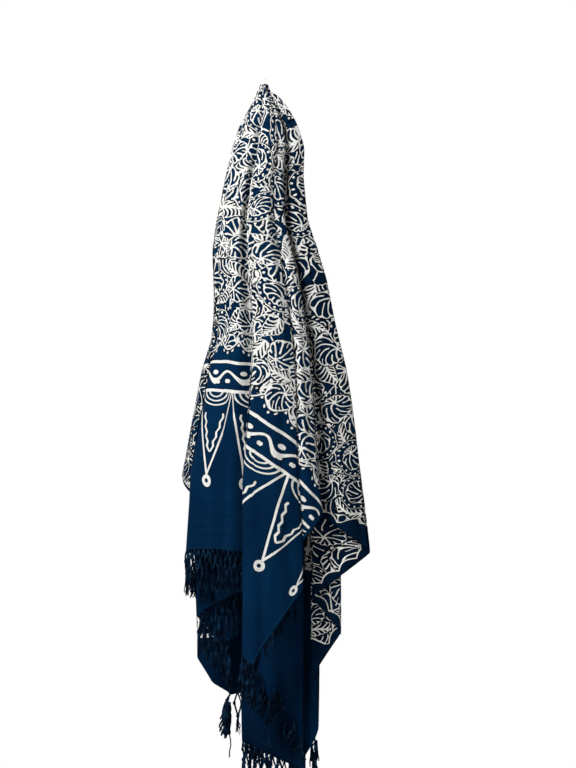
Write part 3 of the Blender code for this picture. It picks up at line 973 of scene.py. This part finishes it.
def creaseHighlight(across, along, acrossFrom, alongFrom, acrossTo, alongTo):
    # a pressed crease whose ridge is drawn paler, a painted highlight where it catches the light
    length = math.hypot(acrossTo - acrossFrom, alongTo - alongFrom)
    leanX, leanY = (acrossTo - acrossFrom) / length, (alongTo - alongFrom) / length
    run = (across - acrossFrom) * leanX + (along - alongFrom) * leanY
    aside = (across - acrossFrom) * leanY - (along - alongFrom) * leanX
    short, fade = cotton["creaseHighlightEnd"]
    return inked(abs(aside), *cotton["creaseHighlight"]) * inked(abs(run - length / 2), length / 2 - short, fade)


def makeCottonShades():
    # colour of the cloth at a place on the flat cloth, the height of its weave, and its roughness
    inputs = {"Flat": "Vector", "Wax strength": "Float"}
    outputs = {"Colour": "Color", "Height": "Float", "Roughness": "Float"}
    (flat, strength), out = newGroup("cottonShades", inputs, outputs)
    wax, stain, crackle = useGroup(flat.tree, "waxResistPrint", {"Flat": flat})
    across, along, _ = parts(flat)
    shade = ramp(noise(flat, *cotton["clouds"]), *cotton["cloudRamp"])
    slub = noise(flat, *cotton["slubs"])
    navyShare, creamShare = (
        shade * clouds + slub * slubs for clouds, slubs in (cotton["navyShares"], cotton["creamShares"])
    )
    colour = mixed(navyShare, cotton["navy"], cotton["paleNavy"])
    # painted shade: darker navy over the far end, short of the right selvedge
    endFade, sideFade = cotton["shadedFades"]
    deep = inked(along + cotton["shadedFrom"], 0.0, endFade) * inked(across, cotton["shadedTo"], sideFade)
    colour = mixed(deep, colour, cotton["shadedNavy"])
    hem = calc("MINIMUM", cloth["nearEnd"] - along, cloth["width"] / 2 - abs(across))
    # painted highlight along the near hem and the selvedges
    hemHighlight = inked(abs(hem - cotton["hemHighlightIn"]), *cotton["hemHighlightLine"]) * inked(cotton["hemHighlightEnd"] - along)
    wearAndCreaseHighlights = [creaseHighlight(across, along + shade * cotton["creaseHighlightStray"], *ends) for ends in cotton["wearAndCreaseHighlights"]]
    # painted highlights: the hem line and the crease ridges are drawn paler
    paintedHighlights = most(hemHighlight * (cotton["hemHighlightLeast"] + slub), most(*wearAndCreaseHighlights) * slub)
    colour = mixed(paintedHighlights, colour, cotton["highlightNavy"])
    colour = mixed(stain * cotton["stainShare"], colour, cotton["stain"])
    cream = mixed(creamShare, cotton["cream"], cotton["warmCream"])
    colour = mixed(wax * strength * (1 - crackle * cotton["crackled"]), colour, cream)
    stray = noise(flat, *cotton["foldNoise"]) * cotton["foldStray"]
    foldAcross = fromLine(across + stray, cotton["foldAcross"])
    foldAlong = fromLine(along + stray + cotton["foldShift"], cotton["foldAlong"])
    crease = most(*[inked(fold, *cotton["foldLine"]) for fold in (foldAcross, foldAlong)]) * shade
    # painted shade: the fold lines are darkened towards navy
    colour = mixed(crease * cotton["foldShade"], colour, cotton["navy"])
    warp, weft = (calc("SINE", way * (math.tau / cotton["threads"])) for way in (across, along))
    weaveHeight, slubHeight, creaseDepth = cotton["heights"]
    height = warp * weft * weaveHeight + slub * slubHeight - crease * creaseDepth
    plain, rougher, smoother = cotton["roughness"]
    feed(out, {"Colour": colour, "Height": height, "Roughness": plain + slub * rougher - wax * smoother})


def newMaterial(name, values):
    material = bpy.data.materials.new(name)
    material.use_nodes = True
    shader = material.node_tree.nodes["Principled BSDF"]
    feed(shader, values)
    return material, material.node_tree, shader


def addBump(shader, height, strength, distance):
    values = {"Strength": strength, "Distance": distance, "Height": height}
    feed(shader, {"Normal": Wire(addNode(height.tree, "ShaderNodeBump", values).outputs[0])})


def makeCotton(name, strength):
    material, tree, shader = newMaterial(name, cotton["shader"])
    flat = Wire(addNode(tree, "ShaderNodeUVMap", uv_map="flatCloth").outputs[0])
    colour, height, roughness = useGroup(tree, "cottonShades", {"Flat": flat, "Wax strength": strength})
    feed(shader, {"Base Color": colour, "Roughness": roughness})
    addBump(shader, height, *cotton["bump"])
    return material


yarn = {
    "dark": (0.0006, 0.0048, 0.0150),
    "highlightBlue": (0.0075, 0.0390, 0.0900),
    "plyPitch": 0.0016,
    "plySlant": 2600,
    "plyShade": 0.10,
    "clouds": (90.0, 2.0),
    "highlightSlope": 2.6,
    "highlightStart": 1.15,
    "shader": {"Specular IOR Level": 0.05, "Roughness": 0.85},
    "bump": (0.5, 0.0003),
}


def makeYarn():
    # twisted cotton yarn: dark, with pale clouds that are painted highlights, banded a little by the plies
    # that wind round it
    material, tree, shader = newMaterial("navy yarn", yarn["shader"])
    place = Wire(addNode(tree, "ShaderNodeTexCoord").outputs["Object"])
    x, y, z = parts(place)
    plies = calc("SINE", z * (math.tau / yarn["plyPitch"]) + (x + y) * yarn["plySlant"])
    highlightCloud = noise(place, *yarn["clouds"], "3D")
    # painted highlights: pale blue clouds on the dark yarn
    share = ramp(highlightCloud, yarn["highlightSlope"], plies * yarn["plyShade"] - yarn["highlightStart"])
    feed(shader, {"Base Color": mixed(share, yarn["dark"], yarn["highlightBlue"])})
    addBump(shader, plies, *yarn["bump"])
    return material


paint = {
    "cream": (0.780, 0.770, 0.735),
    "wearAndCreaseHighlights": (0.560, 0.550, 0.520),
    "roughness": 0.38,
    "rougher": 0.15,
    "spots": (140.0, 4.0),
    "spotRamp": (2.4, -1.05),
    "peel": (900.0, 2.0),
    "bump": (0.2, 0.0002),
}


def paintHook():
    # satin paint on the bent steel: duller and darker in spots where it is handled, with a fine peel
    material, tree, shader = newMaterial("satin paint", {})
    place = Wire(addNode(tree, "ShaderNodeTexCoord").outputs["Object"])
    spots = noise(place, *paint["spots"], "3D")
    colour = mixed(ramp(spots, *paint["spotRamp"]), paint["cream"], paint["wearAndCreaseHighlights"])
    feed(shader, {"Base Color": colour, "Roughness": paint["roughness"] + spots * paint["rougher"]})
    addBump(shader, noise(place, *paint["peel"], "3D"), *paint["bump"])
    bpy.data.objects["wall_hook"].material_slots[0].material = material
    print("stage: hook painted")


# the fringe: cords from the hem knotted into a loose net of two rows, each last knot with a frayed tuft
fringe = {
    "pitch": 0.0120,
    "firstKnot": 0.016,
    "secondKnot": 0.034,
    "uneven": (0.002, 0.005),  # how far the knots of the first and the second row stray up and down
    "knotSway": (0.0010, 0.00276),  # and sideways
    "tipSway": 0.0046,
    "reach": 0.072,
    "hemOverlap": 0.0015,
    "cord": 0.0016,
    "cordSteps": 5,
    "slack": (0.0006, 0.0020),
    "aside": 0.0014,
    "knot": 0.0033,
    "knotLean": 0.25,
    "knotSizes": (0.85, 1.15),
    # a knot's bulges: height along its cord, share of its own half width
    "knotShape": (
        (0.0030, 0.45), (0.0020, 0.92), (0.0006, 1.0), (-0.0008, 0.86), (-0.0022, 1.0), (-0.0030, 0.5),
    ),
    "strands": 9,
    "strand": 0.00105,
    "strandSteps": 7,
    "strandTaper": (1.2, 0.6),  # how thick it starts, and how much thinner it ends
    "curl": (0.0008, 0.0024),
    "curlPhase": (0, 6.3),
    "curlTurns": (8, 7),
    "shortest": 0.66,
    "spread": 0.0034,
    "spreadPower": 0.6,  # how early a strand spreads
    # the bunches tied where two edges meet: the stretch and the angle each hangs from, its lean and thickness
    "bunches": [
        ("centre_panel", nearCorner, 0.0, 1.8),
        ("right_lower_strip", 148.7, 0.0, 1.5),
        ("right_lower_strip", farCorner, 0.0, 1.5),
        ("back_left_panel", 360.0 - farCorner, -0.20, 2.1),
        ("left_inner_pleats", 360.0 - nearCorner, 0.0, 1.5),
    ],
    "bunchKnots": [0.008, 0.017, 0.026, 0.035],  # below the corner
    "bunchSway": 0.006,
    "bunchTuft": 0.036,
    "threadSteps": 8,
    "threadStep": 0.010,
    "threadWave": (0.0015, 1.7),
    # tangled tufts that trail from the near corner across the lower panel: angle and height above its hem
    "trail": [(158.9 - 0.36 * step, 0.132 - 0.0065 * step) for step in range(14)],
    "trailForward": 0.011,
    "trailAngle": 1.2,
    "trailSway": 0.010,
    "trailTufts": (1, 1, 2, 3),
    "trailLean": (-0.7, 0.5),
    "trailLength": (0.012, 0.034),
    "trailThick": (1.2, 2.3),
}

# the parts of the two ends that have fringe, in angles on the flat cloth
fringedEnds = ((firstAngle, nearCorner), (farCorner, 360.0 - farCorner), (360.0 - nearCorner, passes[-1][1]))
passEnds = np.array([row[1] for row in passes])


def hangingPoint(name, angle, drop):
    # a point below the hem of a stretch, on the line of the cloth that falls through it
    part = stretches[name]
    angles = np.array([angle])
    lines = np.stack([np.interp(angles, part["angles"], part["lines"][:, key]) for key in range(8)], axis=1)
    reach = hemFall(angles)[None, :] + drop
    return drape(name, lines, angles, np.searchsorted(passEnds, angles), reach)[0, 0]


def swayed(point, much):
    return point + np.array([chance.uniform(-1, 1), chance.uniform(-1, 1), chance.uniform(-0.5, 0.5)]) * much


def sharesOf(steps):
    return [step / steps for step in range(steps + 1)]


def addString(curve, points, radii):
    # the curve is drawn 1 mm thick all round, so a point's own radius counts in millimetres
    spline = curve.splines.new("POLY")
    spline.points.add(len(points) - 1)
    for spot, place, radius in zip(spline.points, points, radii):
        spot.co = (*place, 1.0)
        spot.radius = radius * 1000


def addCord(curve, start, stop):
    # a cord that hangs a little slack between two knots
    p = fringe
    slack = chance.uniform(*p["slack"])
    aside = chance.uniform(-p["aside"], p["aside"])
    points = []
    for share in sharesOf(p["cordSteps"]):
        sag = math.sin(math.pi * share)
        points.append(start + (stop - start) * share + np.array([aside * sag, -slack * sag, 0.0]))
    addString(curve, points, [p["cord"]] * len(points))


def addKnot(curve, place):
    p = fringe
    wide = p["knotLean"]
    lean = np.array([chance.uniform(-wide, wide), chance.uniform(-wide, wide), 1.0])
    size = p["knot"] * chance.uniform(*p["knotSizes"])
    heights, sizes = zip(*p["knotShape"])
    addString(curve, [place + lean * height for height in heights], [share * size for share in sizes])


def addTuft(curve, place, down, length, thick=1.0):
    # a frayed end: strands of uneven length that spread, curl and grow thinner
    p = fringe
    shares = sharesOf(p["strandSteps"])
    (turnX, turnY), (thickest, thinner) = p["curlTurns"], p["strandTaper"]
    for _ in range(p["strands"]):
        spread = np.array([chance.uniform(-1, 1), chance.uniform(-1, 1), 0.0]) * p["spread"] * thick
        wave = chance.uniform(*p["curl"])
        phase = chance.uniform(*p["curlPhase"])
        own = length * chance.uniform(p["shortest"], 1.0)
        points = []
        for share in shares:
            curl = np.array([math.sin(phase + turnX * share), math.cos(phase + turnY * share), 0.0])
            out = spread * share ** p["spreadPower"] + curl * wave * share
            points.append(place + down * own * share + out)
        addString(curve, points, [p["strand"] * thick * (thickest - thinner * share) for share in shares])


def addBunch(curve, corner, lean, thick):
    # where two edges meet, the last cords are tied in a bunch of knots with a long tassel and a loose thread
    p = fringe
    down = np.array([lean, 0.0, -1.0])
    knot = corner
    for fall in p["bunchKnots"]:
        lower = swayed(corner + down * fall, p["bunchSway"])
        addCord(curve, knot, lower)
        addKnot(curve, lower)
        addTuft(curve, lower, down, p["bunchTuft"], thick)
        knot = lower
    tail = corner - np.array([0.0, 0.0, p["bunchTuft"]])
    addCord(curve, knot, tail)
    addKnot(curve, tail)
    addTuft(curve, tail, down, p["reach"] - p["secondKnot"], thick)
    aside, turn = p["threadWave"]
    thread = []
    for step in range(p["threadSteps"]):
        thread.append(tail + np.array([aside * math.sin(step * turn), 0.0, -p["threadStep"] * step]))
    addString(curve, thread, [p["strand"]] * len(thread))


def addTrail(curve):
    p = fringe
    wide = p["trailAngle"]
    for angle, height in p["trail"]:
        for _ in range(chance.choice(p["trailTufts"])):
            place = hangingPoint("lower_front_panel", angle + chance.uniform(-wide, wide), -height)
            place = swayed(place - np.array([0.0, p["trailForward"], 0.0]), p["trailSway"])
            down = np.array([chance.uniform(*p["trailLean"]), 0.0, -1.0])
            addKnot(curve, place)
            addTuft(curve, place, down, chance.uniform(*p["trailLength"]), chance.uniform(*p["trailThick"]))


def makeFringe(name, start, stop, stretch, material):
    p = fringe
    curve = bpy.data.curves.new(name, "CURVE")
    curve.dimensions = "3D"
    curve.bevel_depth = 0.001
    curve.bevel_resolution = 0
    curve.use_fill_caps = True
    along = cloth["nearEnd"] if math.cos(math.radians(start)) > 0 else -cloth["farEnd"]
    across = sorted(along * math.tan(math.radians(angle)) for angle in (start, stop))
    first = math.ceil(across[0] / p["pitch"])
    last = math.floor(across[1] / p["pitch"])

    def below(column, drop):
        width = min(max(column * p["pitch"], across[0]), across[1])
        angle = math.degrees(math.atan2(width, along)) % 360
        return hangingPoint(stretch, angle - 360 if start < 0 and angle > 180 else angle, drop)

    (firstUneven, uneven), (firstSway, sway) = p["uneven"], p["knotSway"]
    upper = {}
    for column in range(first - 1, last + 1):
        drop = p["firstKnot"] + chance.uniform(-firstUneven, firstUneven)
        knot = swayed(below(column + 0.5, drop), firstSway)
        upper[column] = knot
        addKnot(curve, knot)
        for side in (column, column + 1):
            if first <= side <= last:
                addCord(curve, below(side, -p["hemOverlap"]), knot)
    for column in range(first, last + 1):
        knot = swayed(below(column, p["secondKnot"] + chance.uniform(-uneven, uneven)), sway)
        addKnot(curve, knot)
        addCord(curve, upper[column - 1], knot)
        addCord(curve, upper[column], knot)
        tip = swayed(below(column, p["reach"]), p["tipSway"])
        length = np.linalg.norm(tip - knot)
        addTuft(curve, knot, (tip - knot) / length, length)
    for bunchStretch, angle, lean, thick in p["bunches"]:
        if bunchStretch == stretch:
            addBunch(curve, hangingPoint(stretch, angle, 0.0), lean, thick)
    if stretch == "centre_panel":
        addTrail(curve)
    holder = addObject(name, curve)
    graph = bpy.context.evaluated_depsgraph_get()
    mesh = bpy.data.meshes.new_from_object(holder.evaluated_get(graph))
    bpy.data.objects.remove(holder)
    mesh.materials.clear()
    mesh.materials.append(material)
    mesh.shade_smooth()
    print("stage:", name, "of", last - first + 1, "tassels")
    return addPiece("knotted_" + name, mesh, "navy_fringe", name)


makePrint()
makeCottonShades()
cottonFace = makeCotton("batik cotton", 1.0)
cottonReverse = makeCotton("batik cotton reverse", cotton["reverseShare"])
navyYarn = makeYarn()
sectorStart = firstAngle
for name, rows in passTable.items():
    sectorEnd = rows[-1][0]
    for first, last in fringedEnds:
        first, last = max(sectorStart, first), min(sectorEnd, last)
        if first < last:
            makeFringe(name.rsplit("_", 1)[0] + "_fringe", first, last, name, navyYarn)
    sectorStart = sectorEnd
for name in stretches:
    makeStretch(name, (cottonFace, cottonReverse))
makeTop((cottonFace, cottonReverse))
paintHook()
print("stage: cloth")


# plain studio: pale floor, white surround, one large soft light in front and one at each side
studio = {
    "floorZ": -1.46,
    "floorRadius": 1.5,
    "surround": 0.15,
    "lights": [
        # place, size, power
        ((-1.15, -1.55, 0.95), 0.8, 72.0),
        ((1.9, -2.3, 0.2), 1.6, 8.0),
        ((-1.3, 2.1, 0.9), 1.0, 60.0),
    ],
    "aim": (0.02, -0.05, -0.55),
    "floor": {"Base Color": (0.86, 0.86, 0.85, 1), "Roughness": 0.8},
}


def makeFloor():
    shape = bmesh.new()
    bmesh.ops.create_circle(shape, cap_ends=True, segments=64, radius=studio["floorRadius"])
    for vertex in shape.verts:
        vertex.co.z = studio["floorZ"]
    mesh = bpy.data.meshes.new("studioFloor")
    shape.to_mesh(mesh)
    shape.free()
    mesh.materials.append(newMaterial("pale floor", studio["floor"])[0])
    addObject("studioFloor", mesh)


def makeLights():
    for index, (place, size, power) in enumerate(studio["lights"]):
        lamp = bpy.data.lights.new(f"softLight{index}", "AREA")
        lamp.size = size
        lamp.energy = power
        light = addObject(f"softLight{index}", lamp)
        light.location = place
        light.rotation_mode = "QUATERNION"
        light.rotation_quaternion = (Vector(studio["aim"]) - Vector(place)).to_track_quat("-Z", "Y")
    world = bpy.data.worlds.new("studio")
    scene.world = world
    world.use_nodes = True
    tree = world.node_tree
    back = tree.nodes["Background"]
    seen = Wire(addNode(tree, "ShaderNodeLightPath").outputs["Is Camera Ray"])
    strength = seen * (1 - studio["surround"]) + studio["surround"]
    feed(back, {"Color": (1, 1, 1, 1), "Strength": strength})


makeFloor()
makeLights()
scene.view_settings.view_transform = "Standard"
print("stage: studio")
